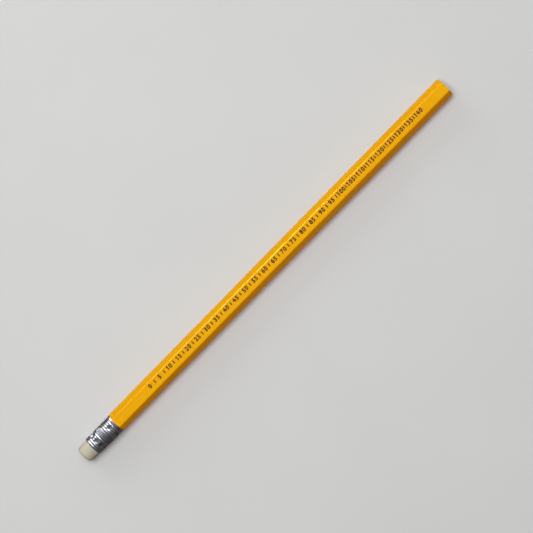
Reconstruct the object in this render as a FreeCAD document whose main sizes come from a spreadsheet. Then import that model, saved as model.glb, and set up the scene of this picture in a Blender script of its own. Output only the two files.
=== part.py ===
import FreeCAD, Part
import Sketcher
import os
from FreeCAD import Rotation, Vector

# A hexagonal wood-cased pencil, unsharpened, with a beaded metal ferrule and a plug eraser.
# Every piece is drawn round the X axis with the eraser's tip at x = 0 and the cut end at
# x = total_length, and its Placement then lays it on the ground, centred on the origin:
# a flat of the hexagon faces down, the printed flat faces up and the eraser points to -X.
# All lengths are millimetres and all angles degrees.

DIMENSIONS = (
    ("total_length", 190.0, "eraser tip to cut end"),
    ("across_flats", 7.0, "hexagon over the lacquer"),
    ("corner_radius", 0.6, "long edges of the hexagon, over the lacquer"),
    ("coat_thickness", 0.12, "lacquer, all its layers together"),
    ("glue_thickness", 0.05, "glue line between the two slats"),
    ("glue_inset", 0.01, "how far the glue's edge stays inside the wood's surface"),
    ("core_radius", 1.05, "graphite core"),
    ("tenon_radius", 3.36, "round end of the casing inside the ferrule"),
    ("tenon_length", 6.3, "length of that round end"),
    ("shoulder_radius", 3.72, "hexagon's corners are bevelled to this at the shoulder"),
    ("shoulder_bevel", 0.6, "length of that bevel"),
    ("ferrule_length", 12.5, "mouth to shoulder"),
    ("ferrule_wall", 0.22, "sheet thickness"),
    ("ferrule_groove", 3.62, "outer radius between the beads"),
    ("ferrule_crest", 3.87, "outer radius of the beads on the casing and of the collar"),
    ("mouth_bead_rise", 0.17, "height of the beads on the eraser"),
    ("mouth_bead_place", 0.6, "mouth to the first bead's middle"),
    ("mouth_bead_count", 5, "beads on the eraser, the lip included"),
    ("bead_half", 0.42, "half the width of a bead"),
    ("bead_pitch", 0.94, "bead to bead"),
    ("shoulder_bead_place", 8.05, "mouth to the middle of the first bead on the casing"),
    ("shoulder_bead_count", 4, "beads on the casing"),
    ("band_start", 4.95, "mouth to the serrated band"),
    ("band_end", 7.3, "mouth to the band's other end"),
    ("band_radius", 3.78, "outer radius of the serrated band"),
    ("slope_length", 0.18, "how far the sheet takes to change its radius"),
    ("collar_length", 0.9, "plain collar that meets the shoulder"),
    ("serration_count", 32, "axial grooves round the band"),
    ("serration_depth", 0.1, "depth of each"),
    ("serration_half", 0.2, "half the width of each"),
    ("dent_punch", 1.7, "radius of the round punch that dents the ferrule"),
    ("dent_floor", 3.34, "radius that the punch reaches"),
    ("dent_lip", 3.7, "radius that the pushed-in sheet rises to"),
    ("dent_gap", 0.02, "running gap between a dent and what it grips"),
    ("mouth_dent_place", 3.0, "mouth to the dents in the eraser"),
    ("mouth_dent_count", 9, "dents in the eraser"),
    ("shoulder_dent_place", 9.8, "mouth to the dents in the casing"),
    ("shoulder_dent_count", 6, "dents in the casing"),
    ("dent_phase", 10.0, "first dent's angle from the top, towards +Y"),
    ("eraser_out", 4.9, "eraser outside the ferrule"),
    ("eraser_inside", 5.9, "eraser inside the ferrule"),
    ("eraser_radius", 3.38, "eraser plug where it is free"),
    ("eraser_squeeze", 0.08, "how much its inner end is squeezed in by the ferrule"),
    ("eraser_edge", 1.0, "rounding of the eraser's rim"),
    ("eraser_dome", 14.0, "radius of the eraser's slightly domed end"),
    ("scale_start", 36.2, "eraser tip to the printed zero"),
    ("scale_step", 5.0, "one number to the next, and what each adds to the one before"),
    ("scale_numbers", 28, "numbers after the zero"),
    ("print_offset", 0.55, "middle of the print, from the middle of its flat towards +Y"),
    ("ink_thickness", 0.02, "height of the print above the lacquer"),
    ("tick_width", 0.36, "mark half-way between two numbers"),
    ("tick_height", 1.4, "mark"),
    ("digit_height", 1.76, "numeral"),
    ("digit_width", 1.08, "numeral"),
    ("digit_gap", 0.26, "between two numerals of one number"),
    ("digit_stroke", 0.32, "numeral's line"),
)

MOUTH = "sizes.eraser_out"
SHOULDER = "(sizes.eraser_out + sizes.ferrule_length)"
TENON = "(sizes.eraser_out + sizes.ferrule_length - sizes.tenon_length)"
WOOD_FLATS = "(sizes.across_flats - 2 * sizes.coat_thickness)"
WOOD_CORNER = "(sizes.corner_radius - sizes.coat_thickness)"
DENT_RING = "(sizes.dent_floor + sizes.dent_punch)"

# Segments of a numeral, in halves of its height and whole widths: (x0, y0, x1, y1).
SEGMENTS = {
    "top": (0, 2, 1, 2),
    "middle": (0, 1, 1, 1),
    "bottom": (0, 0, 1, 0),
    "upper_left": (0, 1, 0, 2),
    "upper_right": (1, 1, 1, 2),
    "lower_left": (0, 0, 0, 1),
    "lower_right": (1, 0, 1, 1),
}
DIGIT_LACKS = {
    "0": ("middle",),
    "1": ("top", "middle", "bottom", "upper_left", "lower_left"),
    "2": ("upper_left", "lower_right"),
    "3": ("upper_left", "lower_left"),
    "4": ("top", "bottom", "lower_left"),
    "5": ("upper_right", "lower_left"),
    "6": ("upper_right",),
    "7": ("middle", "bottom", "upper_left", "lower_left"),
    "8": (),
    "9": ("lower_left",),
}

doc = FreeCAD.newDocument("pencil")


def make_sheet():
    """Driving dimensions, one row each, with an alias that the expressions use."""
    sheet = doc.addObject("Spreadsheet::Sheet", "sizes")
    for row, (alias, value, note) in enumerate(DIMENSIONS, start=1):
        sheet.set(f"A{row}", note)
        sheet.set(f"B{row}", str(value))
        sheet.setAlias(f"B{row}", alias)
    doc.recompute()
    return sheet


sheet = make_sheet()


def bind(thing, **expressions):
    """Binds properties to expressions; two underscores in a name stand for a dot."""
    for name, expression in expressions.items():
        thing.setExpression(name.replace("__", "."), str(expression))
    return thing


def finished(thing, label):
    """Names a whole sub-part and moves it from the drawing axis to its place on the ground."""
    thing.Label = label
    bind(
        thing,
        Placement__Base__x="-sizes.total_length / 2",
        Placement__Base__z="sizes.ferrule_crest",
    )
    return thing


# --- Sketches and PartDesign helpers -------------------------------------------------------


def new_body(name):
    body = doc.addObject("PartDesign::Body", name)
    body.AllowCompound = True
    return body


def origin_feature(body, role):
    return next(f for f in body.Origin.OriginFeatures if f.Role == role)


def new_sketch(body, role, name, along="0"):
    """Sketch on an origin plane, moved by the expression along in the plane's normal."""
    sketch = body.newObject("Sketcher::SketchObject", name)
    sketch.AttachmentSupport = (origin_feature(body, role), "")
    sketch.MapMode = "FlatFace"
    bind(sketch, AttachmentOffset__Base__z=along)
    return sketch


def value(expression):
    """Present value of an expression of the sheet's cells."""
    return float(sheet.evalExpression(expression))


def hold(sketch, kind, *where, size):
    """Dimension of a sketch, bound to the expression size."""
    index = sketch.addConstraint(Sketcher.Constraint(kind, *where, value(size)))
    sketch.setExpression(f"Constraints[{index}]", size)


def place_point(sketch, geometry, end, across, up):
    """Holds a point of the sketch at two expressions, measured from the sketch's origin."""
    hold(sketch, "DistanceX", -1, 1, geometry, end, size=across)
    hold(sketch, "DistanceY", -1, 1, geometry, end, size=up)


def outline(sketch, points):
    """Closed polygon through points, each a pair of expressions."""
    first = len(sketch.Geometry)
    corners = [Vector(value(across), value(up), 0) for across, up in points]
    for i, corner in enumerate(corners):
        sketch.addGeometry(Part.LineSegment(corner, corners[(i + 1) % len(corners)]), False)
    for i, (across, up) in enumerate(points):
        following = first + (i + 1) % len(points)
        sketch.addConstraint(Sketcher.Constraint("Coincident", first + i, 2, following, 1))
        place_point(sketch, first + i, 1, across, up)
    return sketch


def ring(body, kind, name, points):
    """Solid of revolution about X, added (Revolution) or cut (Groove), of an outline in X and radius."""
    sketch = outline(new_sketch(body, "XZ_Plane", name + "_profile"), points)
    feature = body.newObject("PartDesign::" + kind, name)
    feature.Profile = sketch
    feature.ReferenceAxis = (sketch, ["H_Axis"])
    feature.Angle = 360.0
    doc.recompute()
    return feature


def bead(body, kind, name, place, base, rise, bow, half):
    """Rounded ring about X: an arc of radius bow that stands rise above the radius base."""
    left, right = f"{place} - {half}", f"{place} + {half}"
    start, end = Vector(value(left), value(base), 0), Vector(value(right), value(base), 0)
    crest = Vector(value(place), value(base) + value(rise), 0)
    sketch = new_sketch(body, "XZ_Plane", name + "_profile")
    sketch.addGeometry(Part.Arc(end, crest, start), False)
    sketch.addGeometry(Part.LineSegment(start, end), False)
    sketch.addConstraint(Sketcher.Constraint("Coincident", 0, 2, 1, 1))
    sketch.addConstraint(Sketcher.Constraint("Coincident", 0, 1, 1, 2))
    place_point(sketch, 1, 1, left, base)
    place_point(sketch, 1, 2, right, base)
    hold(sketch, "Radius", 0, size=bow)
    feature = body.newObject("PartDesign::" + kind, name)
    feature.Profile = sketch
    feature.ReferenceAxis = (sketch, ["H_Axis"])
    feature.Angle = 360.0
    doc.recompute()
    return feature


def along_x(body, feature, spacing, count):
    """Repeats a feature along the pencil."""
    pattern = body.newObject("PartDesign::LinearPattern", feature.Name + "_row")
    pattern.Originals = [feature]
    pattern.Direction = (origin_feature(body, "X_Axis"), [""])
    pattern.Mode = "Spacing"
    bind(pattern, Offset=spacing, Occurrences=count)
    body.Tip = pattern
    doc.recompute()
    return pattern


def round_x(body, feature, count):
    """Repeats a feature all round the pencil."""
    pattern = body.newObject("PartDesign::PolarPattern", feature.Name + "_ring")
    pattern.Originals = [feature]
    pattern.Axis = (origin_feature(body, "X_Axis"), [""])
    pattern.Angle = 360.0
    bind(pattern, Occurrences=count)
    body.Tip = pattern
    doc.recompute()
    return pattern


# --- Wood, glue, graphite and lacquer -------------------------------------------------------


def hexagon_bar(name, flats, corner, start):
    """Body with a six-sided bar along X, two flats level, its long edges rounded."""
    body = new_body(name)
    sketch = new_sketch(body, "YZ_Plane", name + "_section", start)
    reach, level = f"{flats} / sqrt(3)", f"{flats} / 2"
    corners = ((1, 0), (0.5, 1), (-0.5, 1), (-1, 0), (-0.5, -1), (0.5, -1))
    outline(sketch, [(f"{across} * {reach}", f"{up} * {level}") for across, up in corners])
    pad = body.newObject("PartDesign::Pad", name + "_pad")
    pad.Profile = sketch
    bind(pad, Length=f"sizes.total_length - {start}")
    doc.recompute()
    rounding = body.newObject("PartDesign::Fillet", name + "_edges")
    rounding.Base = (pad, lengthwise_edges(pad.Shape))
    bind(rounding, Radius=corner)
    doc.recompute()
    return body


def lengthwise_edges(shape):
    """Names of the straight edges that run along X."""
    names = []
    for number, edge in enumerate(shape.Edges, start=1):
        direction = edge.tangentAt(edge.FirstParameter)
        if abs(abs(direction.x) - 1) < 1e-6:
            names.append(f"Edge{number}")
    return names


def bevel_shoulder(body, name, inset="0"):
    """Trims the hexagon's corners where the casing meets the ferrule, inset under the lacquer."""
    bevel_end, far = f"{SHOULDER} + sizes.shoulder_bevel", "sizes.across_flats"
    points = (
        (SHOULDER, f"sizes.shoulder_radius - {inset}"),
        (bevel_end, f"sizes.across_flats / sqrt(3) - {inset}"),
        (bevel_end, far),
        (SHOULDER, far),
    )
    return ring(body, "Groove", name + "_bevel", points)


def cut_through(body, name, draw):
    """Pocket along the whole pencil; draw puts its outline on a sketch across the pencil."""
    sketch = new_sketch(body, "YZ_Plane", name + "_outline")
    draw(sketch)
    pocket = body.newObject("PartDesign::Pocket", name)
    pocket.Profile = sketch
    pocket.Type = "Length"
    pocket.Reversed = True
    bind(pocket, Length="sizes.total_length + 1")
    doc.recompute()
    return pocket


def core_circle(sketch):
    circle = Part.Circle(Vector(0, 0, 0), Vector(0, 0, 1), value("sizes.core_radius"))
    sketch.addGeometry(circle, False)
    sketch.addConstraint(Sketcher.Constraint("Coincident", 0, 3, -1, 1))
    hold(sketch, "Radius", 0, size="sizes.core_radius")


def slat(name, side):
    """Half of the wooden casing, above the glue line for side 1 and below it for side -1."""
    body = hexagon_bar(name + "_blank", WOOD_FLATS, WOOD_CORNER, TENON)
    bevel_shoulder(body, name, "sizes.coat_thickness")
    far = "sizes.across_flats"
    tenon = (
        (f"{TENON} - 1", "sizes.tenon_radius"),
        (SHOULDER, "sizes.tenon_radius"),
        (SHOULDER, far),
        (f"{TENON} - 1", far),
    )
    ring(body, "Groove", name + "_tenon", tenon)
    cut_through(body, name + "_lead_groove", core_circle)
    joint = f"{side} * sizes.glue_thickness / 2"
    other = f"{-side} * {far}"

    def other_half(sketch):
        outline(sketch, ((f"-{far}", joint), (far, joint), (far, other), (f"-{far}", other)))

    cut_through(body, name + "_joint_face", other_half)
    gripped = doc.addObject("Part::Cut", name)
    gripped.Base = body
    gripped.Tool = dent_balls(name + "_dents", "shoulder", CLEAR_BALL)
    return finished(gripped, name)


def rod(name, start, end, radius):
    """Cylinder round the X axis between two places along it."""
    cylinder = doc.addObject("Part::Cylinder", name)
    cylinder.Placement.Rotation = Rotation(Vector(0, 1, 0), 90)
    bind(cylinder, Radius=radius, Height=f"{end} - {start}", Placement__Base__x=start)
    return cylinder


def graphite_core():
    core = rod("core_rod", TENON, "sizes.total_length", "sizes.core_radius")
    finished(core, "graphite_core")
    return bind(core, Placement__Base__x=f"{TENON} - sizes.total_length / 2")


def glue_strip(name, start, end, reach):
    """Half of the glue film, on +Y, from the core out to reach."""
    film = doc.addObject("Part::Box", name)
    bind(
        film,
        Length=f"{end} - {start}",
        Width=f"{reach} - sizes.core_radius",
        Height="sizes.glue_thickness",
        Placement__Base__x=start,
        Placement__Base__y="sizes.core_radius",
        Placement__Base__z="-sizes.glue_thickness / 2",
    )
    return film


def glue_line():
    """Two glue films, one each side of the core, narrower in the tenon."""
    corner = f"({WOOD_FLATS} / sqrt(3) - {WOOD_CORNER} * (2 / sqrt(3) - 1))"
    in_tenon = glue_strip("glue_in_tenon", TENON, SHOULDER, "(sizes.tenon_radius - sizes.glue_inset)")
    bevel_end = f"({SHOULDER} + sizes.shoulder_bevel)"
    bevel = "(sizes.shoulder_radius - sizes.coat_thickness - sizes.glue_inset)"
    in_bevel = glue_strip("glue_in_bevel", SHOULDER, bevel_end, bevel)
    bar = f"({corner} - sizes.glue_inset)"
    in_bar = glue_strip("glue_in_bar", bevel_end, "sizes.total_length", bar)
    half = doc.addObject("Part::MultiFuse", "glue_half")
    half.Shapes = [in_tenon, in_bevel, in_bar]
    other_half = doc.addObject("Part::Mirroring", "glue_other_half")
    other_half.Source = half
    other_half.Normal = Vector(0, 1, 0)
    both = doc.addObject("Part::Compound", "glue_films")
    both.Links = [half, other_half]
    line = doc.addObject("Part::Cut", "glue_line")
    line.Base = both
    line.Tool = rod("glue_core_space", "0", "sizes.total_length", "sizes.core_radius")
    return finished(line, "glue_line")


def lacquer_coat():
    """Hollow hexagonal skin over both slats, from the shoulder to the cut end."""
    outer = hexagon_bar("coat_outside", "sizes.across_flats", "sizes.corner_radius", SHOULDER)
    bevel_shoulder(outer, "coat")
    inner = hexagon_bar("coat_inside", WOOD_FLATS, WOOD_CORNER, SHOULDER)
    bevel_shoulder(inner, "coat_inside", "sizes.coat_thickness")
    coat = doc.addObject("Part::Cut", "lacquer_coat")
    coat.Base = outer
    coat.Tool = inner
    return finished(coat, "lacquer_coat")


# --- Ferrule and eraser -------------------------------------------------------------------

PUNCH_BALL = "sizes.dent_punch"
BACK_BALL = "sizes.dent_punch + sizes.ferrule_wall"
CLEAR_BALL = "sizes.dent_punch + sizes.ferrule_wall + sizes.dent_gap"


def dent_balls(name, end, radius):
    """Ring of balls where one end's dents are: "mouth" for the eraser, "shoulder" for the casing."""
    body = new_body(name)
    ball = body.newObject("PartDesign::AdditiveSphere", name + "_ball")
    ball.AttachmentSupport = (origin_feature(body, "YZ_Plane"), "")
    ball.MapMode = "FlatFace"
    bind(
        ball,
        Radius=radius,
        AttachmentOffset__Base__x=f"{DENT_RING} * sin(sizes.dent_phase * 1 deg)",
        AttachmentOffset__Base__y=f"{DENT_RING} * cos(sizes.dent_phase * 1 deg)",
        AttachmentOffset__Base__z=f"{MOUTH} + sizes.{end}_dent_place",
    )
    body.Tip = ball
    doc.recompute()
    round_x(body, ball, f"sizes.{end}_dent_count")
    return body


def sleeve():
    """Ferrule sheet with its raised band and collar, its beads and the serrations, before denting."""
    body = new_body("ferrule_sleeve")
    groove, band, crest = "sizes.ferrule_groove", "sizes.band_radius", "sizes.ferrule_crest"
    slope, collar = "sizes.slope_length", "sizes.collar_length"
    stations = (
        ("0", groove),
        ("sizes.band_start", groove),
        (f"sizes.band_start + {slope}", band),
        (f"sizes.band_end - {slope}", band),
        ("sizes.band_end", groove),
        (f"sizes.ferrule_length - {collar}", groove),
        (f"sizes.ferrule_length - {collar} + {slope}", crest),
        ("sizes.ferrule_length", crest),
    )
    outside = [(f"{MOUTH} + {place}", radius) for place, radius in stations]
    inside = [(place, f"{radius} - sizes.ferrule_wall") for place, radius in reversed(outside)]
    ring(body, "Revolution", "sheet", outside + inside)
    for end, rise in (
        ("mouth", "sizes.mouth_bead_rise"),
        ("shoulder", "(sizes.ferrule_crest - sizes.ferrule_groove)"),
    ):
        add_beads(body, end, rise)
    add_serrations(body)
    return body


def add_beads(body, end, rise):
    """Row of hollow beads rolled out of the sheet at one end of the ferrule."""
    place = f"{MOUTH} + sizes.{end}_bead_place"
    half, wall = "sizes.bead_half", "sizes.ferrule_wall"
    bow = f"(({half}^2 + {rise}^2) / (2 * {rise}))"
    hollow_bow = f"({bow} - {wall})"
    hollow_half = f"sqrt(2 * {rise} * {hollow_bow} - {rise}^2)"
    ground = "sizes.ferrule_groove"
    count = f"sizes.{end}_bead_count"
    raised = bead(body, "Revolution", end + "_bead", place, ground, rise, bow, half)
    along_x(body, raised, "sizes.bead_pitch", count)
    hollow = bead(
        body,
        "Groove",
        end + "_bead_hollow",
        place,
        f"{ground} - {wall}",
        rise,
        hollow_bow,
        hollow_half,
    )
    along_x(body, hollow, "sizes.bead_pitch", count)


def add_serrations(body):
    """Fine V grooves along the raised band, all round."""
    sketch = new_sketch(
        body, "YZ_Plane", "serration_section", f"{MOUTH} + sizes.band_start + sizes.slope_length"
    )
    outer = "(sizes.band_radius + sizes.serration_depth)"
    outline(
        sketch,
        (
            ("0", "sizes.band_radius - sizes.serration_depth"),
            ("2 * sizes.serration_half", outer),
            ("-2 * sizes.serration_half", outer),
        ),
    )
    cut = body.newObject("PartDesign::Pocket", "serration")
    cut.Profile = sketch
    cut.Type = "Length"
    cut.Reversed = True
    bind(cut, Length="sizes.band_end - sizes.band_start - 2 * sizes.slope_length")
    doc.recompute()
    round_x(body, cut, "sizes.serration_count")


def ferrule():
    """Beaded sleeve, pushed in by a round punch all round over the eraser and over the casing."""
    formed = sleeve()
    formed.Placement.Rotation = Rotation(Vector(-1, 0, 0), 1)
    between_dents = "sizes.dent_phase + 180 / sizes.mouth_dent_count"
    bind(formed, Placement__Rotation__Angle=f"({between_dents}) * 1 deg")
    backs = [dent_balls(f"{end}_dent_backs", end, BACK_BALL) for end in ("mouth", "shoulder")]
    punches = [dent_balls(f"{end}_dent_punches", end, PUNCH_BALL) for end in ("mouth", "shoulder")]
    balls = doc.addObject("Part::Compound", "dent_backs")
    balls.Links = backs
    pushed = doc.addObject("Part::Common", "pushed_sheet")
    pushed.Base = balls
    pushed.Tool = rod("dent_lip_limit", "0", "sizes.total_length", "sizes.dent_lip")
    whole = doc.addObject("Part::Fuse", "ferrule_before_punch")
    whole.Base = formed
    whole.Tool = pushed
    tools = doc.addObject("Part::Compound", "dent_punches")
    tools.Links = punches
    dented = doc.addObject("Part::Cut", "ferrule")
    dented.Base = whole
    dented.Tool = tools
    return finished(dented, "ferrule")


def eraser():
    """Rubber plug with a slightly domed end and a rounded rim, gripped by the mouth dents."""
    free = rod("eraser_free", "0", MOUTH, "sizes.eraser_radius")
    held = doc.addObject("Part::Cone", "eraser_held")
    held.Placement.Rotation = Rotation(Vector(0, 1, 0), 90)
    bind(
        held,
        Radius1="sizes.eraser_radius",
        Radius2="sizes.eraser_radius - sizes.eraser_squeeze",
        Height="sizes.eraser_inside",
        Placement__Base__x=MOUTH,
    )
    plug = doc.addObject("Part::Fuse", "eraser_stock")
    plug.Base = free
    plug.Tool = held
    dome = doc.addObject("Part::Sphere", "eraser_dome_ball")
    bind(dome, Radius="sizes.eraser_dome", Placement__Base__x="sizes.eraser_dome")
    domed = doc.addObject("Part::Common", "eraser_domed")
    domed.Base = plug
    domed.Tool = dome
    doc.recompute()
    edges = domed.Shape.Edges
    rim = min(range(len(edges)), key=lambda i: edges[i].BoundBox.XMax if edges[i].Closed else 1e9)
    rounded = doc.addObject("Part::Fillet", "eraser_rounded")
    rounded.Base = domed
    radius = value("sizes.eraser_edge")
    rounded.Edges = [(rim + 1, radius, radius)]
    gripped = doc.addObject("Part::Cut", "eraser")
    gripped.Base = rounded
    gripped.Tool = dent_balls("eraser_dents", "mouth", CLEAR_BALL)
    return finished(gripped, "eraser")


# --- Print on the upper flat --------------------------------------------------------------


def scale_ticks():
    """Marks half-way between the numbers, one pad repeated for each."""
    body = new_body("scale_ticks")
    sketch = new_sketch(body, "XY_Plane", "tick_outline", "sizes.across_flats / 2")
    place = "sizes.scale_start + sizes.scale_step / 2"
    left, right = f"{place} - sizes.tick_width / 2", f"{place} + sizes.tick_width / 2"
    low, high = (f"sizes.print_offset {sign} sizes.tick_height / 2" for sign in "-+")
    outline(sketch, ((left, low), (right, low), (right, high), (left, high)))
    pad = body.newObject("PartDesign::Pad", "tick_pad")
    pad.Profile = sketch
    bind(pad, Length="sizes.ink_thickness")
    doc.recompute()
    along_x(body, pad, "sizes.scale_step", "sizes.scale_numbers")
    return body


def digit_shape(digit, left, sizes):
    """One numeral as a union of straight strokes, its left edge at left, its middle on y = 0."""
    across = sizes["digit_width"] - sizes["digit_stroke"]
    half = (sizes["digit_height"] - sizes["digit_stroke"]) / 2
    pen = sizes["digit_stroke"]
    strokes = []
    for name, (x0, y0, x1, y1) in SEGMENTS.items():
        if name in DIGIT_LACKS[digit]:
            continue
        stroke = Part.makeBox(
            (x1 - x0) * across + pen, (y1 - y0) * half + pen, sizes["ink_thickness"]
        )
        stroke.translate(Vector(left + x0 * across, (y0 - 1) * half - pen / 2, 0))
        strokes.append(stroke)
    return strokes[0].multiFuse(strokes[1:]).removeSplitter()


def scale_numbers():
    """Numerals of the scale, each centred on the place that it numbers."""
    wanted = ("digit_width", "digit_height", "digit_stroke", "digit_gap", "ink_thickness")
    wanted += ("scale_start", "scale_step", "scale_numbers", "print_offset", "across_flats")
    sizes = {name: value("sizes." + name) for name in wanted}
    numerals = []
    for number in range(int(sizes["scale_numbers"]) + 1):
        distance = number * sizes["scale_step"]
        text = str(round(distance))
        middle = sizes["scale_start"] + distance
        advance = sizes["digit_width"] + sizes["digit_gap"]
        left = middle - (len(text) * advance - sizes["digit_gap"]) / 2
        for place, digit in enumerate(text):
            numerals.append(digit_shape(digit, left + place * advance, sizes))
    feature = doc.addObject("Part::Feature", "scale_numerals")
    feature.Shape = Part.makeCompound([solid for shape in numerals for solid in shape.Solids])
    feature.Placement.Base = Vector(0, sizes["print_offset"], sizes["across_flats"] / 2)
    return feature


def printed_scale():
    scale = doc.addObject("Part::Compound", "printed_scale")
    scale.Links = [scale_ticks(), scale_numbers()]
    return finished(scale, "printed_scale")


# --- Build, check and write -----------------------------------------------------------------


def check(parts):
    """Stops the build if any object failed or any sub-part isn't sound."""
    for thing in doc.Objects:
        if "Invalid" in thing.State or "Error" in thing.State:
            raise RuntimeError(f"{thing.Name} failed: {thing.State}")
    for part in parts:
        if part.Shape.isNull() or not part.Shape.isValid() or not part.Shape.Solids:
            raise RuntimeError(f"{part.Label} has no sound shape")


def main():
    parts = [
        slat("upper_slat", 1),
        slat("lower_slat", -1),
        graphite_core(),
        glue_line(),
        lacquer_coat(),
        ferrule(),
        eraser(),
        printed_scale(),
    ]
    doc.recompute()
    check(parts)
    os.makedirs("parts", exist_ok=True)
    for part in parts:
        part.Shape.exportStep(f"parts/{part.Label}.step")
        box = part.Shape.BoundBox
        print(
            f"{part.Label}: {len(part.Shape.Solids)} solids, volume {part.Shape.Volume:.3f},"
            f" x {box.XMin:.2f} to {box.XMax:.2f}, y {box.YMin:.2f} to {box.YMax:.2f},"
            f" z {box.ZMin:.2f} to {box.ZMax:.2f}"
        )


main()
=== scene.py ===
import math

import bpy
import numpy as np
from mathutils import Matrix, Vector


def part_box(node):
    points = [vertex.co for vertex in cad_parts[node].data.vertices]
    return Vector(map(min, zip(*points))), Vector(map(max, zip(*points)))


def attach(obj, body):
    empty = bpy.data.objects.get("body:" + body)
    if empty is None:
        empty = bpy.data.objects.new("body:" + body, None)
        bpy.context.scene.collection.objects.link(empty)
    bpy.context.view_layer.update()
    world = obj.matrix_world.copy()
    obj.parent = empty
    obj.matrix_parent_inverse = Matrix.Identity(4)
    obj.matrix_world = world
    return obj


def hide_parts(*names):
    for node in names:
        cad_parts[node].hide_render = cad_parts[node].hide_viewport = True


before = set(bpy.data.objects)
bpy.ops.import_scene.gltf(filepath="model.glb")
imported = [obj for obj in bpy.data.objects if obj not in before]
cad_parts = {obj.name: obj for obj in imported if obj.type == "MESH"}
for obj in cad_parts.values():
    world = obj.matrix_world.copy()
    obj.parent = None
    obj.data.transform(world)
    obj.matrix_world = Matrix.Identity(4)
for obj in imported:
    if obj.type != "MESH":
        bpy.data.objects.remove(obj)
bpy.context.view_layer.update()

# A hexagonal pencil that lies along X with its eraser towards -X and its print facing up.
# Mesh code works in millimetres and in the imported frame; build() turns them into metres.

MM = 0.001


def box_mm(node):
    """Lowest and highest corner of a CAD node, in millimetres."""
    low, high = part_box(node)
    return np.array(low) / MM, np.array(high) / MM


TIP = box_mm("eraser")[0][0]
ERASER_INNER = box_mm("eraser")[1][0]
MOUTH, SHOULDER = (corner[0] for corner in box_mm("ferrule"))
END = box_mm("lacquer_coat")[1][0]
TENON = box_mm("upper_slat")[0][0]
AXIS_Z = float(np.mean([corner[2] for corner in box_mm("graphite_core")]))
PRINT_TOP = box_mm("printed_scale")[1][2]

# Casing: its width over the lacquer's flats, its corners' radius, and how far the bare wood
# reaches at a corner. At the shoulder it is bevelled, from a radius and at a slope.
FLATS, CORNER, BARE_CORNER = 7.0, 0.6, 3.82
COAT = 0.12
GLUE_HALF = 0.025
CORE = 1.05
TENON_RADIUS = 3.36
SHOULDER_RADIUS, SHOULDER_SLOPE, SHOULDER_REACH = 3.72, 0.5, 1.2

# Ferrule: its radius in the grooves, on its inside and at its highest. Its mouth is rolled over
# the length of the lip, and its other end rounded over the rim. Places are measured from its mouth.
GROOVE, INNER, CREST = 3.62, 3.40, 3.868
LIP, RIM = 0.11, 0.06
SLOPE = 0.18
COLLAR_LENGTH = 0.9
# Beads: the first one's place, how many there are, and their rise.
MOUTH_BEADS = (0.6, 5, 0.17)
SHOULDER_BEADS = (8.05, 4, 0.248)
BEAD_HALF, BEAD_PITCH, BEAD_FULLNESS = 0.43, 0.94, 0.85
# Band: its start, its end and its radius. Its serrations fade out over a stretch at each end.
BAND = (4.95, 7.3, 3.78)
SERRATIONS, SERRATION_DEPTH, SERRATION_HALF = 32, 0.09, 0.22
SERRATION_FADE = (0.3, 0.55)
SERRATION_PHASE = 30.0
# Dents: rings of them by place and number, pressed by a round-nosed punch. The sheet round a dent
# is pulled down by a share of its height over the dent's floor.
DENT_RINGS = ((3.0, 9), (9.8, 6))
DENT_FLOOR, DENT_PUNCH, DENT_BLEND = 3.34, 1.7, 0.06
DENT_REACH = 0.95 * DENT_PUNCH
DENT_PULL = 0.154
DENT_PHASE = 10.0

# Eraser: its radius in the open and in the ferrule, and the radii of its edge and of its end.
ERASER_RADIUS, ERASER_HELD = 3.38, 3.30
ERASER_EDGE, ERASER_DOME = 1.0, 14.0

# Gap between a piece and the ferrule that is pressed round it.
PRESS_GAP = 0.02


# --- Mesh helpers --------------------------------------------------------------------------


def build(name, points, faces, node, slot_name, material, smooth=True):
    """Makes a closed piece from points in millimetres; it rides on the body and replaces node."""
    mesh = bpy.data.meshes.new(name)
    mesh.from_pydata((np.asarray(points, float) * MM).tolist(), [], faces)
    mesh.validate()
    mesh.update()
    if smooth:
        mesh.shade_smooth()
    piece = bpy.data.objects.new(name, mesh)
    bpy.context.scene.collection.objects.link(piece)
    mesh.materials.append(material)
    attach(piece, "root")
    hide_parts(node)
    return piece


def even_angles(count):
    """Angles of a full turn in equal steps."""
    return np.arange(count) * (2 * math.pi / count)


def polar(x, radius, angle):
    """Points at a radius and an angle from the top towards +Y, round the pencil's axis."""
    x, radius, angle = np.broadcast_arrays(x, radius, angle)
    return np.stack([x, radius * np.sin(angle), AXIS_Z + radius * np.cos(angle)], axis=-1)


def ring_faces(rows, columns, closed):
    """Quads between successive rings of points; closed joins the last ring to the first."""
    faces = []
    for i in range(rows if closed else rows - 1):
        here, there = i * columns, ((i + 1) % rows) * columns
        for j in range(columns):
            k = (j + 1) % columns
            faces.append((here + j, there + j, there + k, here + k))
    return faces


def loop_piece(name, rings, **made):
    """Sleeve whose rings run along its outside and back along its inside."""
    rows, columns = rings.shape[:2]
    return build(name, rings.reshape(-1, 3), ring_faces(rows, columns, True), **made)


def rod_piece(name, rings, **made):
    """Solid of successive rings, closed by a fan of triangles at each end."""
    rows, columns = rings.shape[:2]
    points = list(rings.reshape(-1, 3))
    faces = ring_faces(rows, columns, False)
    last = (rows - 1) * columns
    for start, flip in ((0, False), (last, True)):
        middle = len(points)
        points.append(np.mean(points[start:start + columns], axis=0))
        for j in range(columns):
            pair = (start + j, start + (j + 1) % columns)
            faces.append((middle, *(pair[::-1] if flip else pair)))
    return build(name, np.array(points), faces, **made)


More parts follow.
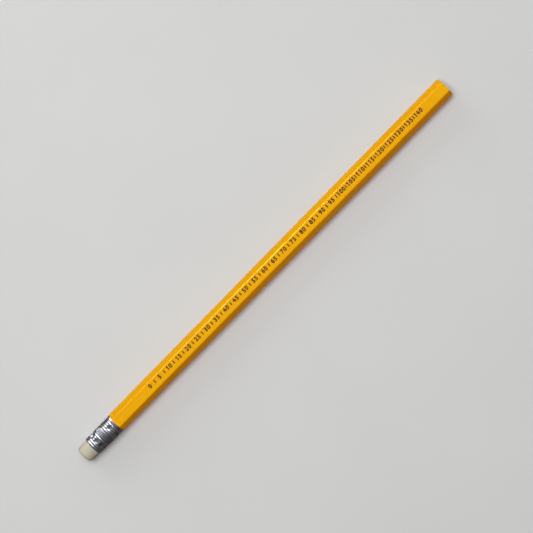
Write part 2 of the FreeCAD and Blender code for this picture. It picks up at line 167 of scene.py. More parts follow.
def ripple(seed, along, angle, longest, shortest, turns, count=12):
    """Smooth repeatable unevenness of about -1 to 1 over length and angle; turns is its highest
    number of waves round the pencil, and longest and shortest are its wavelengths."""
    random = np.random.default_rng(seed)
    total = 0.0
    for _ in range(count):
        wave = 2 * math.pi / random.uniform(shortest, longest)
        around = random.integers(-turns, turns + 1)
        phase = random.uniform(0, 2 * math.pi)
        total = total + np.sin(wave * along + around * angle + phase)
    return total / (0.6 * count)


def worn(depth, seed, *waves):
    """Unevenness of about 0 to depth, for what is taken off a surface; waves are as in ripple."""
    return depth * (1 + ripple(seed, *waves)) / 2


def smooth_min(a, b, blend):
    """The smaller of two values, rounded off where they are within blend of each other."""
    share = np.clip(0.5 + 0.5 * (b - a) / blend, 0, 1)
    return b * (1 - share) + a * share - blend * share * (1 - share)


def smooth_step(low, high, value):
    """From 0 at low to 1 at high, with no slope at either."""
    share = np.clip((value - low) / (high - low), 0, 1)
    return share * share * (3 - 2 * share)


def hexagon(angle, flats, corner):
    """Radius of a hexagon with rounded corners, at an angle from the middle of a flat."""
    half = flats / 2
    off = np.abs((angle + math.pi / 6) % (math.pi / 3) - math.pi / 6)
    flat = half / np.cos(off)
    reach = (half - corner) / math.cos(math.pi / 6)
    turn = math.pi / 6 - off
    round_part = reach * np.cos(turn) + np.sqrt(
        np.maximum(corner**2 - (reach * np.sin(turn)) ** 2, 0)
    )
    on_flat = half * np.tan(off) <= (half - corner) * math.tan(math.pi / 6)
    return np.where(on_flat, flat, round_part)


def hexagon_angles():
    """Angles round the pencil, close together at the rounded corners."""
    off_corner = np.radians([0, 0.6, 1.2, 1.8, 2.4, 3.0, 3.6, 4.1, 4.5, 5.2, 7, 10, 14, 18.5, 24])
    sector = np.concatenate([off_corner, [math.pi / 6], math.pi / 3 - off_corner[:0:-1]])
    corners = np.arange(6) * math.pi / 3 + math.pi / 6
    return np.concatenate([corner + sector for corner in corners])


# --- Materials -----------------------------------------------------------------------------


class Paint:
    """A material's node tree, with short ways to add nodes to it."""

    def __init__(self, name):
        self.material = bpy.data.materials.new(name)
        self.material.use_nodes = True
        self.tree = self.material.node_tree
        self.shader = self.tree.nodes["Principled BSDF"]
        place = self.tree.nodes.new("ShaderNodeTexCoord").outputs["Object"]
        scaled = self.vector("SCALE", place)
        scaled.node.inputs["Scale"].default_value = 1 / MM
        self.place = scaled

    def put(self, socket, value):
        """Links another node's output to a socket, or sets the socket's own value."""
        if isinstance(value, bpy.types.NodeSocket):
            self.tree.links.new(value, socket)
        else:
            socket.default_value = value

    def vector(self, operation, *values):
        node = self.tree.nodes.new("ShaderNodeVectorMath")
        node.operation = operation
        for socket, value in zip(node.inputs, values):
            self.put(socket, value)
        return node.outputs["Vector"]

    def maths(self, operation, *values):
        node = self.tree.nodes.new("ShaderNodeMath")
        node.operation = operation
        for socket, value in zip(node.inputs, values):
            self.put(socket, value)
        return node.outputs[0]

    def stretched(self, along, across):
        """Place in millimetres, times one factor along the pencil and another across it."""
        return self.vector("MULTIPLY", self.place, (along, across, across))

    def parts(self, vector):
        node = self.tree.nodes.new("ShaderNodeSeparateXYZ")
        self.put(node.inputs[0], vector)
        return node.outputs

    def joined(self, *values):
        node = self.tree.nodes.new("ShaderNodeCombineXYZ")
        for socket, value in zip(node.inputs, values):
            self.put(socket, value)
        return node.outputs[0]

    def length(self, vector):
        node = self.tree.nodes.new("ShaderNodeVectorMath")
        node.operation = "LENGTH"
        self.put(node.inputs[0], vector)
        return node.outputs["Value"]

    def round_axis(self):
        """Angle from the top towards +Y, and radius, about the pencil's axis."""
        _, y, z = self.parts(self.place)
        up = self.maths("SUBTRACT", z, AXIS_Z)
        return self.maths("ARCTAN2", y, up), self.length(self.joined(0.0, y, up))

    def noise(self, vector, scale, detail=3.0, roughness=0.55):
        node = self.tree.nodes.new("ShaderNodeTexNoise")
        self.put(node.inputs["Vector"], vector)
        self.put(node.inputs["Scale"], scale)
        self.put(node.inputs["Detail"], detail)
        self.put(node.inputs["Roughness"], roughness)
        return node.outputs[0]

    def spots(self, vector, scale):
        """Distance to the nearest of scattered points."""
        node = self.tree.nodes.new("ShaderNodeTexVoronoi")
        self.put(node.inputs["Vector"], vector)
        self.put(node.inputs["Scale"], scale)
        return node.outputs["Distance"]

    def ranged(self, value, low, high, out_low, out_high):
        """A value from low to high as one from out_low to out_high, held at both ends."""
        node = self.tree.nodes.new("ShaderNodeMapRange")
        for socket, item in zip(node.inputs, (value, low, high, out_low, out_high)):
            self.put(socket, item)
        return node.outputs[0]

    def mixed(self, factor, first, second):
        """The first colour at factor 0 and the second at 1."""
        node = self.tree.nodes.new("ShaderNodeMix")
        node.data_type = "RGBA"
        self.put(node.inputs["Factor"], factor)
        for socket, value in zip((s for s in node.inputs if s.type == "RGBA"), (first, second)):
            self.put(socket, value)
        return next(s for s in node.outputs if s.type == "RGBA")

    def bump(self, height, distance, under=None):
        """Relief of a height in millimetres, on top of the relief under it."""
        node = self.tree.nodes.new("ShaderNodeBump")
        self.put(node.inputs["Height"], height)
        self.put(node.inputs["Distance"], distance * MM)
        if under is not None:
            self.put(node.inputs["Normal"], under)
        return node.outputs[0]

    def finish(self, **values):
        """Sets the shader's sockets by name, with _ for a space, and gives the material."""
        for name, value in values.items():
            self.put(self.shader.inputs[name.replace("_", " ")], value)
        return self.material


def lacquer_material():
    """Yellow gloss over faintly streaked wood, with a few dark motes under it."""
    paint = Paint("yellow_lacquer")
    streaks = paint.noise(paint.stretched(0.03, 1.3), 1.0, 4.0)
    clouds = paint.noise(paint.place, 0.09, 2.0)
    motes = paint.ranged(paint.spots(paint.stretched(0.45, 0.8), 1.0), 0.03, 0.06, 1.0, 0.0)
    tone = paint.mixed(streaks, (0.80, 0.355, 0.0012, 1), (0.90, 0.405, 0.0012, 1))
    tone = paint.mixed(paint.ranged(clouds, 0.35, 0.65, 0.0, 0.35), tone, (0.88, 0.42, 0.0015, 1))
    tone = paint.mixed(paint.maths("MULTIPLY", motes, 0.35), tone, (0.42, 0.14, 0.004, 1))
    peel = paint.bump(paint.noise(paint.place, 0.9, 2.0), 0.006)
    grain = paint.bump(paint.noise(paint.stretched(0.04, 2.6), 1.0, 3.0), 0.006, peel)
    return paint.finish(
        Base_Color=tone,
        Roughness=paint.ranged(paint.noise(paint.stretched(0.2, 1.5), 1.0), 0.3, 0.7, 0.18, 0.27),
        IOR=1.5,
        Specular_Tint=(0.85, 1.0, 0.18, 1),
        Normal=grain,
    )


def metal_material():
    """Rolled sheet with painted shade in its grooves and dents, and darker and duller on its
    serrated band.
    """
    paint = Paint("ferrule_metal")
    angle, radius = paint.round_axis()
    along = paint.parts(paint.place)[0]
    start, end, outer = BAND
    unrolled = paint.joined(along, paint.maths("MULTIPLY", angle, (GROOVE + outer) / 2), 0.0)
    # Painted shade: the colour goes dark where the sheet lies low, partly in the grooves between
    # the beads and most in the dents.
    hollow_shade = paint.ranged(radius, GROOVE - 0.12, GROOVE + 0.14, 1.0, 0.0)
    film = paint.noise(unrolled, 0.8, 3.0)
    tone = paint.mixed(film, (0.66, 0.68, 0.74, 1), (0.80, 0.82, 0.87, 1))
    dark = paint.maths("MULTIPLY", hollow_shade, paint.ranged(film, 0.35, 0.65, 0.45, 0.8))
    tone = paint.mixed(dark, tone, (0.23, 0.23, 0.26, 1))
    off_middle = paint.maths("SUBTRACT", along, MOUTH + (start + end) / 2)
    from_band = paint.maths("ABSOLUTE", off_middle)
    half = (end - start) / 2
    dull = paint.ranged(from_band, half - 0.1, half + 0.1, 0.55, 0.0)
    tone = paint.mixed(dull, tone, (0.30, 0.30, 0.335, 1))
    haze = paint.ranged(paint.noise(unrolled, 2.2, 4.0), 0.3, 0.7, 0.23, 0.37)
    rolled = paint.vector("MULTIPLY", unrolled, (14.0, 0.7, 1.0))
    lines = paint.bump(paint.noise(rolled, 1.0, 4.0), 0.0015)
    scuffs = paint.bump(paint.noise(unrolled, 5.0, 3.0), 0.002, lines)
    return paint.finish(
        Base_Color=tone,
        Metallic=1.0,
        Roughness=paint.maths("ADD", haze, paint.maths("MULTIPLY", dull, 0.16)),
        Normal=scuffs,
    )


def rubber_material():
    """Off-white rubber with small pores."""
    paint = Paint("eraser_rubber")
    clouds = paint.noise(paint.place, 0.5, 4.0)
    tone = paint.mixed(clouds, (0.50, 0.455, 0.345, 1), (0.59, 0.545, 0.42, 1))
    pores = paint.ranged(paint.spots(paint.place, 3.2), 0.08, 0.2, 1.0, 0.0)
    tone = paint.mixed(paint.maths("MULTIPLY", pores, 0.16), tone, (0.40, 0.35, 0.25, 1))
    skin = paint.bump(paint.noise(paint.place, 6.0, 5.0, 0.65), 0.03)
    pitted = paint.bump(paint.maths("MULTIPLY", pores, -1.0), 0.03, skin)
    return paint.finish(
        Base_Color=tone,
        Roughness=paint.ranged(clouds, 0.3, 0.7, 0.72, 0.9),
        Specular_IOR_Level=0.3,
        Normal=pitted,
    )


def wood_material():
    """Cedar, with its growth rings curving across the cut end and its grain along the pencil."""
    paint = Paint("casing_wood")
    _, y, z = paint.parts(paint.place)
    waver = paint.noise(paint.stretched(0.05, 0.35), 1.0, 2.0)
    heart_y, heart_z = -17.0, -23.0
    away = paint.joined(0.0, paint.maths("SUBTRACT", y, heart_y),
                        paint.maths("SUBTRACT", z, heart_z))
    depth = paint.maths("ADD", paint.length(away), paint.maths("MULTIPLY", waver, 0.9))
    rings_per_mm = 0.85
    year = paint.maths("FRACT", paint.maths("MULTIPLY", depth, rings_per_mm))
    late = paint.maths("POWER", year, 3.0)
    fibres = paint.noise(paint.stretched(0.25, 16.0), 1.0, 4.0, 0.6)
    tone = paint.mixed(late, (0.62, 0.36, 0.19, 1), (0.36, 0.155, 0.065, 1))
    tone = paint.mixed(paint.ranged(fibres, 0.3, 0.7, 0.0, 0.45), tone, (0.30, 0.13, 0.06, 1))
    pores = paint.ranged(paint.spots(paint.stretched(0.2, 9.0), 1.0), 0.1, 0.3, 1.0, 0.0)
    tone = paint.mixed(paint.maths("MULTIPLY", pores, 0.4), tone, (0.20, 0.08, 0.035, 1))
    slanted = paint.maths("ADD", y, paint.maths("MULTIPLY", z, 0.35))
    saw_marks = paint.bump(paint.maths("SINE", paint.maths("MULTIPLY", slanted, 17.0)), 0.012)
    return paint.finish(
        Base_Color=tone,
        Roughness=paint.ranged(fibres, 0.3, 0.7, 0.62, 0.85),
        Specular_IOR_Level=0.35,
        Normal=paint.bump(fibres, 0.05, saw_marks),
    )


def graphite_material():
    """Dark grey and faintly metallic."""
    paint = Paint("graphite")
    grain = paint.noise(paint.stretched(1.0, 7.0), 1.0, 4.0)
    tone = paint.mixed(grain, (0.035, 0.035, 0.038, 1), (0.085, 0.085, 0.092, 1))
    return paint.finish(
        Base_Color=tone,
        Metallic=0.35,
        Roughness=paint.ranged(grain, 0.3, 0.7, 0.32, 0.5),
        Normal=paint.bump(grain, 0.02),
    )


def glue_material():
    """Dried wood glue."""
    paint = Paint("glue")
    grain = paint.noise(paint.stretched(0.4, 6.0), 1.0, 3.0)
    tone = paint.mixed(grain, (0.36, 0.24, 0.12, 1), (0.55, 0.40, 0.22, 1))
    return paint.finish(
        Base_Color=tone,
        Roughness=paint.ranged(grain, 0.3, 0.7, 0.4, 0.6),
        Normal=paint.bump(grain, 0.01),
    )


def ink_material():
    """Thin black print, a little browner where the lacquer shows through it."""
    paint = Paint("black_ink")
    cover = paint.noise(paint.place, 3.0, 4.0)
    thin = paint.ranged(cover, 0.55, 0.75, 0.0, 0.5)
    tone = paint.mixed(thin, (0.038, 0.011, 0.009, 1), (0.13, 0.042, 0.008, 1))
    return paint.finish(
        Base_Color=tone,
        Roughness=paint.ranged(cover, 0.3, 0.7, 0.45, 0.65),
        Normal=paint.bump(cover, 0.004),
    )


# --- Ferrule -------------------------------------------------------------------------------


def punch_radius(along, angle):
    """Radius of the nearest dent's surface, and the share by which the sheet round it is pulled
    down."""
    nearest = np.full(np.broadcast(along, angle).shape, np.inf)
    pull = np.zeros_like(nearest)
    for place, count in DENT_RINGS:
        step = 2 * math.pi / count
        off = (angle - math.radians(DENT_PHASE) + step / 2) % step - step / 2
        distance = np.hypot(along - place, GROOVE * off)
        depth = np.sqrt(np.maximum(DENT_PUNCH**2 - distance**2, 0))
        dent = np.where(distance < DENT_REACH, DENT_FLOOR + DENT_PUNCH - depth, np.inf)
        nearest = np.minimum(nearest, dent)
        pull = pull + DENT_PULL * np.exp(-(distance**2))
    return np.where(np.isfinite(nearest), nearest, CREST + 1), pull


def sheet_radius(along, angle):
    """Outer radius of the ferrule at a distance from its mouth."""
    radius = np.full(np.broadcast(along, angle).shape, GROOVE)
    for first, count, rise in (MOUTH_BEADS, SHOULDER_BEADS):
        for i in range(count):
            off = np.clip(np.abs(along - first - i * BEAD_PITCH) / BEAD_HALF, 0, 1)
            swell = 1 + 0.05 * ripple(31 + i + count, 0, angle, 9, 5, 7)
            bead = (0.5 + 0.5 * np.cos(math.pi * off)) ** BEAD_FULLNESS
            radius = radius + rise * swell * bead
    start, end, outer = BAND
    on_band = smooth_step(start, start + SLOPE, along) - smooth_step(end - SLOPE, end, along)
    step = 2 * math.pi / SERRATIONS
    turned = angle - math.radians(SERRATION_PHASE) + step / 2
    off = np.abs(turned % step - step / 2) * outer / SERRATION_HALF
    cut = SERRATION_DEPTH * np.clip(1 - off, 0, 1)
    plain, full = SERRATION_FADE
    serrated = smooth_step(start + plain, start + full, along)
    serrated = serrated - smooth_step(end - full, end - plain, along)
    radius = radius + on_band * (outer - GROOVE) - cut * serrated
    collar = SHOULDER - MOUTH - COLLAR_LENGTH
    radius = radius + smooth_step(collar, collar + SLOPE, along) * (CREST - GROOVE)
    dent, pull = punch_radius(along, angle)
    uneven = 0.006 * ripple(5, along, angle, 6, 2.5, 5)
    pulled = radius - pull * (radius - DENT_FLOOR) + uneven
    return np.minimum(smooth_min(pulled, dent, DENT_BLEND), CREST)


def inner_radius(along, angle):
    """Inner radius of the ferrule, which the dents push in."""
    dent, _ = punch_radius(along, angle)
    return smooth_min(INNER, dent - (GROOVE - INNER), DENT_BLEND)


def make_ferrule(material):
    """Sleeve of sheet metal with a rolled lip at its mouth."""
    length = SHOULDER - MOUTH
    angle = even_angles(432)
    outside = np.linspace(LIP, length - RIM, 172)
    inside = np.linspace(length - RIM / 2, LIP, 44)
    rings = []
    half = (sheet_radius(LIP, angle) - INNER) / 2
    for turn in np.radians(np.linspace(170, 10, 7)):
        rings.append(polar(MOUTH + LIP * (1 - math.sin(turn)),
                           INNER + half * (1 + math.cos(turn)), angle))
    for along in outside:
        rings.append(polar(MOUTH + along, sheet_radius(along, angle), angle))
    rim = sheet_radius(length - RIM, angle)
    for along, drop in ((length - 0.025, 0.02), (length, RIM)):
        rings.append(polar(MOUTH + along, rim - drop, angle))
    rings.append(polar(SHOULDER, 3.5, angle))
    rings.append(polar(SHOULDER, INNER + 0.03, angle))
    for along in inside:
        rings.append(polar(MOUTH + along, inner_radius(along, angle), angle))
    return loop_piece("ferrule_sleeve", np.array(rings), node="ferrule",
                      slot_name="ferrule_metal", material=material)


# --- Eraser --------------------------------------------------------------------------------


def make_eraser(material):
    """Round plug with a slightly domed and worn end, squeezed where the ferrule holds it."""
    angle = even_angles(144)
    mouth = MOUTH - TIP
    inner = ERASER_INNER - TIP
    rim_depth = ERASER_DOME - math.sqrt(ERASER_DOME**2 - (ERASER_RADIUS - ERASER_EDGE) ** 2)
    profile = []
    for share in np.linspace(0.06, 1, 16):
        radius = share * (ERASER_RADIUS - ERASER_EDGE)
        profile.append((ERASER_DOME - math.sqrt(ERASER_DOME**2 - radius**2), radius))
    for turn in np.radians(np.linspace(84, 0, 12)):
        profile.append((rim_depth + ERASER_EDGE * (1 - math.sin(turn)),
                        ERASER_RADIUS - ERASER_EDGE * (1 - math.cos(turn))))
    for along in np.linspace(rim_depth + ERASER_EDGE + 0.1, mouth, 26):
        profile.append((along, ERASER_RADIUS))
    for along in np.linspace(mouth + 0.1, inner, 60):
        squeeze = smooth_step(mouth, mouth + 0.6, along)
        profile.append((along, ERASER_RADIUS + (ERASER_HELD - ERASER_RADIUS) * squeeze))
    rings = []
    for along, radius in profile:
        wear = worn(0.02, 8, along, angle, 5, 1.6, 6) + worn(0.008, 9, along, angle, 0.9, 0.4, 24)
        free = smooth_step(mouth, mouth - 0.5, along)
        size = radius - wear * free
        if along > mouth:
            size = np.minimum(size, inner_radius(along - mouth, angle) - PRESS_GAP)
        back = worn(0.03, 10, radius, angle, 4, 1.5, 3) * (along < rim_depth + 0.2)
        rings.append(polar(TIP + along + back, size, angle))
    rings.append(polar(ERASER_INNER, ERASER_HELD * 0.5, angle))
    return rod_piece("eraser_plug", np.array(rings), node="eraser",
                     slot_name="eraser_rubber", material=material)


# --- Casing --------------------------------------------------------------------------------


def casing_radius(along, angle, inset):
    """Radius of the casing past the shoulder, its corners bevelled where it meets the ferrule."""
    radius = hexagon(angle, FLATS - 2 * inset, CORNER - inset)
    cone = SHOULDER_RADIUS - inset + SHOULDER_SLOPE * along
    return smooth_min(radius, cone, 0.03) if along < SHOULDER_REACH else radius


def coat_ends(angle):
    """How far the lacquer's cut edge is torn back, round the pencil."""
    return worn(0.02, 21, 0, angle, 9, 8, 40, 20)


def make_lacquer(material):
    """Thin hexagonal sleeve that isn't quite flat and is torn a little at its cut end."""
    angle = hexagon_angles()
    length = END - SHOULDER
    near = np.concatenate([np.linspace(0.03, SHOULDER_REACH, 20), np.linspace(1.5, 4, 6)])
    rest = np.linspace(5, length - 1, 170)
    outside = np.concatenate([near, rest, [length - 0.5, length - 0.2, length - 0.08]])
    rings = [polar(SHOULDER, casing_radius(0, angle, 0.03), angle)]
    for along in outside:
        dip = worn(0.006, 3, along, angle, 60, 14, 7) + worn(0.003, 4, along, angle, 8, 4, 18)
        rings.append(polar(SHOULDER + along, casing_radius(along, angle, 0) - dip, angle))
    torn = coat_ends(angle)
    rings.append(polar(END - torn - 0.015, casing_radius(length, angle, 0.02), angle))
    rings.append(polar(END - torn, casing_radius(length, angle, 0.05), angle))
    rings.append(polar(END - torn, casing_radius(length, angle, COAT), angle))
    for along in np.concatenate([rest[::-8], near[::-1], [0.0]]):
        rings.append(polar(SHOULDER + along, casing_radius(along, angle, COAT), angle))
    return loop_piece("lacquer_skin", np.array(rings), node="lacquer_coat",
                      slot_name="yellow_lacquer", material=material)


def end_relief(points):
    """How far the sawn end is torn back at points, never past its flat plane."""
    y, z = points[..., 1], points[..., 2] - AXIS_Z
    random = np.random.default_rng(17)
    total = 0.0
    for _ in range(26):
        direction = random.uniform(0, math.pi)
        wave = 2 * math.pi / random.uniform(0.35, 2.4)
        phase = random.uniform(0, 2 * math.pi)
        total = total + np.sin(wave * (y * math.cos(direction) + z * math.sin(direction)) + phase)
    return 0.012 * np.clip(1 + total / 6, 0, 2.5)


def make_slat(name, side, material):
    """Half of the casing: a lattice of angle, depth and length, of which only the skin is kept."""
    start = math.asin(GLUE_HALF / BARE_CORNER)
    angles = hexagon_angles() - math.pi / 2
    angles = angles[(angles > start + 0.002) & (angles < math.pi - start - 0.002)]
    angles = np.concatenate([[start], np.sort(angles), [math.pi - start]])
    fill = np.linspace(0, 1, 40)[1:-1] * (math.pi - 2 * start) + start
    far = np.min(np.abs(fill[:, None] - angles[None, :]), axis=1) > 0.03
    angles = np.sort(np.concatenate([angles, fill[far]]))
    depths = np.linspace(0, 1, 20)
    tenon = np.linspace(TENON, SHOULDER - 0.01, 56)
    casing = np.concatenate([SHOULDER + np.linspace(0, SHOULDER_REACH, 8),
                             np.linspace(SHOULDER + 4, END - 0.3, 24), [END]])
    rows = [(x, True) for x in tenon] + [(x, False) for x in casing]
    share = (angles - start) / (math.pi - 2 * start)
    grid = np.zeros((len(angles), len(depths), len(rows), 3))
    for k, (x, in_ferrule) in enumerate(rows):
        from_top = math.pi / 2 - angles
        if in_ferrule:
            held = inner_radius(x - MOUTH, from_top * side) - PRESS_GAP
            outer = np.minimum(TENON_RADIUS, held)
        else:
            outer = casing_radius(x - SHOULDER, from_top, COAT)
        for j, depth in enumerate(depths):
            radius = CORE + (outer - CORE) * depth
            first = np.arcsin(GLUE_HALF / radius)
            turned = first + (math.pi - 2 * first) * share
            grid[:, j, k] = np.stack([x + 0 * turned, radius * np.cos(turned),
                                      AXIS_Z + side * radius * np.sin(turned)], axis=-1)
    last = len(rows) - 1
    edge = smooth_step(0, 0.12, 1 - depths)[None, :] * smooth_step(0, 0.12, depths)[None, :]
    grid[:, :, last, 0] -= end_relief(grid[:, :, last]) * (0.3 + 0.7 * edge)
    return lattice_piece(name, grid, flipped=side < 0, node=name.replace("_half", "_slat"),
                         slot_name="casing_wood", material=material)


def lattice_piece(name, grid, flipped, **made):
    """Closed skin of a lattice of points."""
    number = {}
    points = []
    faces = []

    def vertex(*index):
        if index not in number:
            number[index] = len(points)
            points.append(grid[index])
        return number[index]

    for axis in range(3):
        first, second = (axis + 1) % 3, (axis + 2) % 3
        for layer, reverse in ((0, True), (grid.shape[axis] - 1, False)):
            for i in range(grid.shape[first] - 1):
                for j in range(grid.shape[second] - 1):
                    corners = []
                    for di, dj in ((0, 0), (1, 0), (1, 1), (0, 1)):
                        index = [0, 0, 0]
                        index[axis], index[first], index[second] = layer, i + di, j + dj
                        corners.append(vertex(*index))
                    faces.append(tuple(corners[::-1] if reverse == flipped else corners))
    return build(name, np.array(points), faces, **made)


def make_core(material):
    """Rod with a softly broken edge at the cut end."""
    angle = even_angles(72)
    start = SHOULDER - 6.3
    radius = CORE - 0.004
    edge = 0.04
    face = END - 0.02
    rings = [polar(start, CORE * 0.5, angle)]
    for along in np.linspace(start, face - edge, 30):
        rings.append(polar(along, radius, angle))
    for turn in np.radians((30, 60, 85)):
        rings.append(polar(face - edge * (1 - math.sin(turn)),
                           radius - edge * (1 - math.cos(turn)), angle))
    for share in np.linspace(0.92, 0.05, 12):
        flat = polar(face, CORE * share, angle)
        flat[:, 0] -= end_relief(flat)
        rings.append(flat)
    return rod_piece("graphite_rod", np.array(rings), node="graphite_core",
                     slot_name="graphite", material=material)


# --- Print ---------------------------------------------------------------------------------


# Millimetre scale: its zero's place, the step between its numbers, and how many gaps they leave.
SCALE_ZERO, SCALE_STEP, SCALE_GAPS = -58.8, 5.0, 28
PRINT_OFFSET, PRINT_DEPTH = 0.55, 0.045
DIGIT_WIDTH, DIGIT_HEIGHT, DIGIT_PITCH = 1.12, 1.76, 1.34
TICK_WIDTH, TICK_HEIGHT = 0.42, 1.3
# How much thicker the strokes become, and the outlines that are drawn here, in the type's units.
TYPE_WEIGHT = 0.04
OWN_DIGITS = {
    "1": ((-0.03, 0), (0.07, 0), (0.07, 0.69), (-0.01, 0.69), (-0.15, 0.6), (-0.15, 0.5),
          (-0.03, 0.565)),
    "4": ((0.05, 0), (0.15, 0), (0.15, 0.22), (0.22, 0.22), (0.22, 0.31), (0.15, 0.31),
          (0.15, 0.48), (0.05, 0.48), (0.05, 0.31), (-0.13, 0.31), (0.04, 0.69), (-0.06, 0.69),
          (-0.24, 0.28), (-0.24, 0.22), (0.05, 0.22)),
}


def flat_digit(digit):
    """A digit as welded flat points and faces, from the built-in type or drawn here."""
    if digit in OWN_DIGITS:
        outline = OWN_DIGITS[digit]
        return np.array(outline, float), [tuple(range(len(outline)))]
    thickness = 0.5
    curve = bpy.data.curves.new("figure", "FONT")
    curve.body = digit
    curve.align_x = "CENTER"
    curve.extrude = thickness
    curve.resolution_u = 6
    source = bpy.data.objects.new("figure", curve)
    bpy.context.scene.collection.objects.link(source)
    bpy.context.view_layer.update()
    mesh = bpy.data.meshes.new_from_object(source)
    number, faces = {}, []
    for polygon in mesh.polygons:
        corners = [mesh.vertices[i].co for i in polygon.vertices]
        if min(corner.z for corner in corners) > 0.98 * thickness:
            places = [(round(corner.x, 3), round(corner.y, 3)) for corner in corners]
            face = tuple(number.setdefault(place, len(number)) for place in places)
            if len(set(face)) == len(face):
                faces.append(face)
    bpy.data.objects.remove(source)
    bpy.data.curves.remove(curve)
    bpy.data.meshes.remove(mesh)
    return np.array(list(number)), faces


def rim_edges(faces):
    """Edges of flat faces that only one face has, with the face on their left."""
    edges = {(face[i - 1], face[i]) for face in faces for i in range(len(face))}
    return sorted((a, b) for a, b in edges if (b, a) not in edges)


def thickened(points, faces):
    """The points of flat faces with their rim moved outwards, by at most 1.6 times the weight."""
    push = np.zeros_like(points)
    for a, b in rim_edges(faces):
        along = points[b] - points[a]
        push[[a, b]] += np.array([along[1], -along[0]]) / np.hypot(*along)
    length = np.maximum(np.hypot(push[:, 0], push[:, 1]), 1e-6)
    return points + push * (TYPE_WEIGHT * np.minimum(2 / length**2, 1.6 / length))[:, None]


def pressed(points, faces):
    """Closed slab of ink under flat faces, as points and faces."""
    count = len(points)
    slab = list(faces)
    slab += [tuple(i + count for i in reversed(face)) for face in faces]
    slab += [(a, a + count, b + count, b) for a, b in rim_edges(faces)]
    top = np.column_stack([points, np.full(count, PRINT_TOP)])
    return np.concatenate([top, top - [0, 0, PRINT_DEPTH]]), slab


def make_print(material):
    """Numbers 0 to 140 in steps of 5, with a mark half-way between each pair."""
    type_case = {}
    for digit in "0123456789":
        flat, shapes = flat_digit(digit)
        type_case[digit] = (thickened(flat, shapes), shapes)
    low, high = type_case["0"][0].min(axis=0), type_case["0"][0].max(axis=0)
    size = np.array([DIGIT_WIDTH, DIGIT_HEIGHT]) / (high - low)
    points, faces = [], []

    def add(flat, shapes):
        base = sum(len(p) for p in points)
        new_points, new_faces = pressed(flat, shapes)
        points.append(new_points)
        faces.extend(tuple(base + i for i in face) for face in new_faces)

    for number in range(SCALE_GAPS + 1):
        text = str(round(number * SCALE_STEP))
        for i, digit in enumerate(text):
            flat, shapes = type_case[digit]
            x = SCALE_ZERO + number * SCALE_STEP + (i - (len(text) - 1) / 2) * DIGIT_PITCH
            add((flat - (low + high) / 2) * size + [x, PRINT_OFFSET], shapes)
    for gap in range(SCALE_GAPS):
        middle = np.array([SCALE_ZERO + (gap + 0.5) * SCALE_STEP, PRINT_OFFSET])
        corners = np.array([(-1, -1), (1, -1), (1, 1), (-1, 1)]) / 2
        add(middle + corners * [TICK_WIDTH, TICK_HEIGHT], [(0, 1, 2, 3)])
    return build("scale_print", np.concatenate(points), faces, node="printed_scale",
                 slot_name="black_ink", material=material, smooth=False)


# --- Stage ---------------------------------------------------------------------------------
# The ground is in millimetres, like the meshes; lamps and camera are in metres.


def make_ground(name, drop, seen_by, dark, light, warm_from=None):
    """Flat ground, sloped so that the ferrule and the far end's lower edge both rest on it, and
    seen by camera, diffuse or glossy rays only. Its two colours are mottled; or, with warm_from,
    the light one lies past that place along X on the pencil's -Y side, and the dark one
    elsewhere."""
    low_x, high_x = (MOUTH + SHOULDER) / 2, END
    slope = (AXIS_Z - FLATS / 2) / (high_x - low_x)
    reach = 4000.0
    corners = [(x, y, slope * (x - low_x) - drop) for x, y in
               ((-reach, -reach), (reach, -reach), (reach, reach), (-reach, reach))]
    mesh = bpy.data.meshes.new(name)
    mesh.from_pydata((np.array(corners) * MM).tolist(), [], [(0, 1, 2, 3)])
    ground = bpy.data.objects.new(name, mesh)
    bpy.context.scene.collection.objects.link(ground)
    paint = Paint(name)
    if warm_from is None:
        share = paint.noise(paint.place, 0.02, 2.0)
    else:
        x, y, _ = paint.parts(paint.place)
        past = paint.ranged(x, warm_from - 7, warm_from + 7, 0.0, 1.0)
        beside = paint.ranged(y, -2.0, 2.0, 1.0, 0.0)
        share = paint.maths("MULTIPLY", past, beside)
    tone = paint.mixed(share, (*dark, 1), (*light, 1))
    mesh.materials.append(paint.finish(Base_Color=tone, Roughness=0.85, Specular_IOR_Level=0.2))
    ground.visible_camera = seen_by == "camera"
    ground.visible_diffuse = seen_by == "diffuse"
    ground.visible_glossy = seen_by == "glossy"
    ground.visible_shadow = False


def aim(thing, place, target, up):
    """Puts a light or camera at place, looking at target, with up towards its own +Y."""
    back = (Vector(place) - Vector(target)).normalized()
    right = Vector(up).cross(back).normalized()
    turn = Matrix((right, back.cross(right), back)).transposed()
    thing.matrix_world = Matrix.Translation(Vector(place)) @ turn.to_4x4()


LAMP_DISTANCE = 1.0
DAYLIGHT = (0.96, 0.98, 1.0)


def soft_light(name, azimuth, from_zenith, size, power, seen_by, colour=DAYLIGHT):
    """Area light that faces the pencil, seen by diffuse or glossy rays only. Its azimuth is from
    +X towards +Y, in degrees."""
    data = bpy.data.lights.new(name, "AREA")
    data.shape = "RECTANGLE"
    data.size, data.size_y = size
    data.energy = power
    data.color = colour
    light = bpy.data.objects.new(name, data)
    bpy.context.scene.collection.objects.link(light)
    a, z = math.radians(azimuth), math.radians(from_zenith)
    direction = Vector((math.sin(z) * math.cos(a), math.sin(z) * math.sin(a), math.cos(z)))
    aim(light, direction * LAMP_DISTANCE, (0, 0, 0), (0, 0, 1))
    light.visible_camera = False
    light.visible_diffuse = seen_by == "diffuse"
    light.visible_glossy = seen_by == "glossy"
    return light


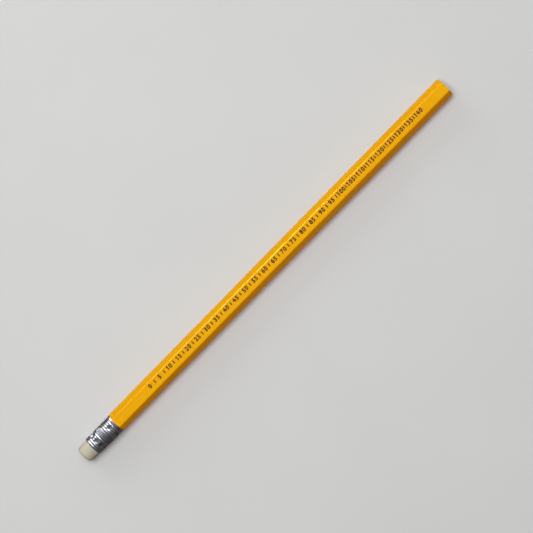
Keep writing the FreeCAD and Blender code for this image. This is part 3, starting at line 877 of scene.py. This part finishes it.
def make_lamps(lacquer):
    """Two lamps for the light and four for the reflections, the last of them in the lacquer
    only."""
    soft_light("key", 90, 13, (0.6, 0.6), 7.6, "diffuse", (1, 1, 1))
    soft_light("fill", 92, 70, (0.5, 0.4), 2.0, "diffuse")
    soft_light("window", 92, 77, (0.5, 0.62), 3.2, "glossy")
    soft_light("side_window", 47, 64, (0.5, 0.6), 4.5, "glossy")
    soft_light("glint", 18, 46, (0.22, 0.26), 1.5, "glossy")
    edge = soft_light("edge_light", 92, 62, (0.2, 0.3), 8.0, "glossy", (1.0, 0.97, 0.8))
    receivers = bpy.data.collections.new("lacquered")
    receivers.objects.link(lacquer)
    edge.light_linking.receiver_collection = receivers


CAMERA_PLACE, CAMERA_TARGET = (0.03130, 0.01054, 0.640), (0.00242, 0.00070, 0.00387)
CAMERA_LENS, CAMERA_HEADING = 117.04, 44.35


def make_camera():
    """Camera at the photo's viewing angle; the heading is its upward direction, from +X."""
    data = bpy.data.cameras.new("camera")
    data.sensor_width = 36.0
    data.lens = CAMERA_LENS
    data.clip_start, data.clip_end = 0.01, 20.0
    camera = bpy.data.objects.new("camera", data)
    bpy.context.scene.collection.objects.link(camera)
    heading = math.radians(CAMERA_HEADING)
    aim(camera, CAMERA_PLACE, CAMERA_TARGET, (math.cos(heading), math.sin(heading), 0))
    bpy.context.scene.camera = camera


# Direction of the room's bright side, and its strength opposite that side and on it.
WORLD_SIDE = (0.30, 0.95, 0.0)
WORLD_RANGE = (0.02, 0.46)


def make_world():
    """Soft light from all round, brightest towards +Y and dim on the other side."""
    world = bpy.data.worlds.new("studio")
    world.use_nodes = True
    tree = world.node_tree
    background = tree.nodes["Background"]
    background.inputs["Color"].default_value = (0.95, 0.97, 1.0, 1)
    across = tree.nodes.new("ShaderNodeVectorMath")
    across.operation = "DOT_PRODUCT"
    across.inputs[1].default_value = WORLD_SIDE
    tree.links.new(tree.nodes.new("ShaderNodeTexCoord").outputs["Generated"], across.inputs[0])
    strength = tree.nodes.new("ShaderNodeMapRange")
    strength.inputs["From Min"].default_value = -1.0
    strength.inputs["To Min"].default_value, strength.inputs["To Max"].default_value = WORLD_RANGE
    tree.links.new(across.outputs["Value"], strength.inputs["Value"])
    tree.links.new(strength.outputs["Result"], background.inputs["Strength"])
    bpy.context.scene.world = world


# --- Build ---------------------------------------------------------------------------------

wood = wood_material()
make_ferrule(metal_material())
make_eraser(rubber_material())
lacquer = make_lacquer(lacquer_material())
make_slat("upper_half", 1, wood)
make_slat("lower_half", -1, wood)
make_core(graphite_material())
make_print(ink_material())
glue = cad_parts["glue_line"]
glue.data.materials.clear()
glue.data.materials.append(glue_material())

make_ground("floor", 0.002, "camera", (0.64, 0.635, 0.62), (0.68, 0.675, 0.66))
make_ground("bounce_card", 0.004, "diffuse", (0.14, 0.105, 0.08), (0.78, 0.27, 0.11),
            SHOULDER - 5)
make_ground("mirror_card", 0.006, "glossy", (0.115, 0.085, 0.07), (0.135, 0.10, 0.085))
make_world()
make_lamps(lacquer)
make_camera()
bpy.context.scene.view_settings.view_transform = "Standard"
